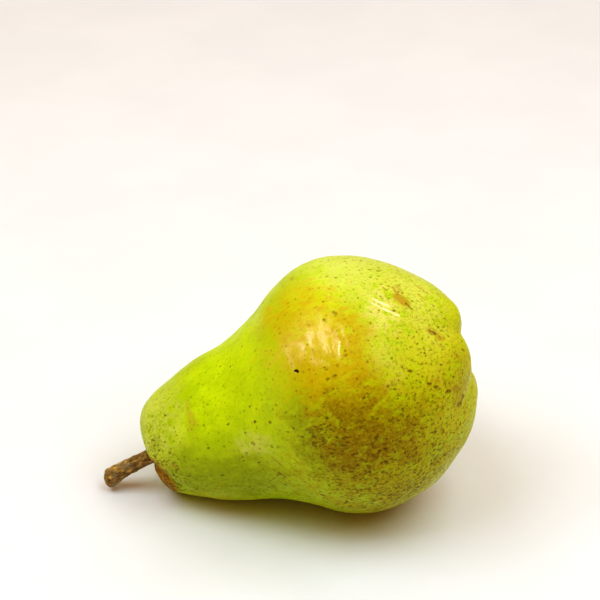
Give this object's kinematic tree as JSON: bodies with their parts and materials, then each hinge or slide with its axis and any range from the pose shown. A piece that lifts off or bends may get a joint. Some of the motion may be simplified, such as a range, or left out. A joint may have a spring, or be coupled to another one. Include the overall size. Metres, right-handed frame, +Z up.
{
  "type": "pear",
  "caption": "Ripe yellow-green dessert pear lying on its side, with a short woody stem at the narrow end and a dried calyx in the broad end.",
  "frame": {"origin": "on the surface that the pear lies on, under the centre of its bounding box", "axes": "+X along the lying pear, from the stem end to the eye end; +Z up; -Y is the side with the orange blush"},
  "size_m": [0.1073, 0.0739, 0.0721],
  "materials": {
    "skin": "smooth waxy fruit skin, yellow-green with a faint orange blush and fine brown specks, soft gloss",
    "bark": "rough brown bark, matt",
    "dried_sepal": "dried, blackish brown, matt"
  },
  "bodies": {
    "root": {"fruit": "skin", "stem": "bark", "calyx": "dried_sepal"}
  },
  "joints": []
}
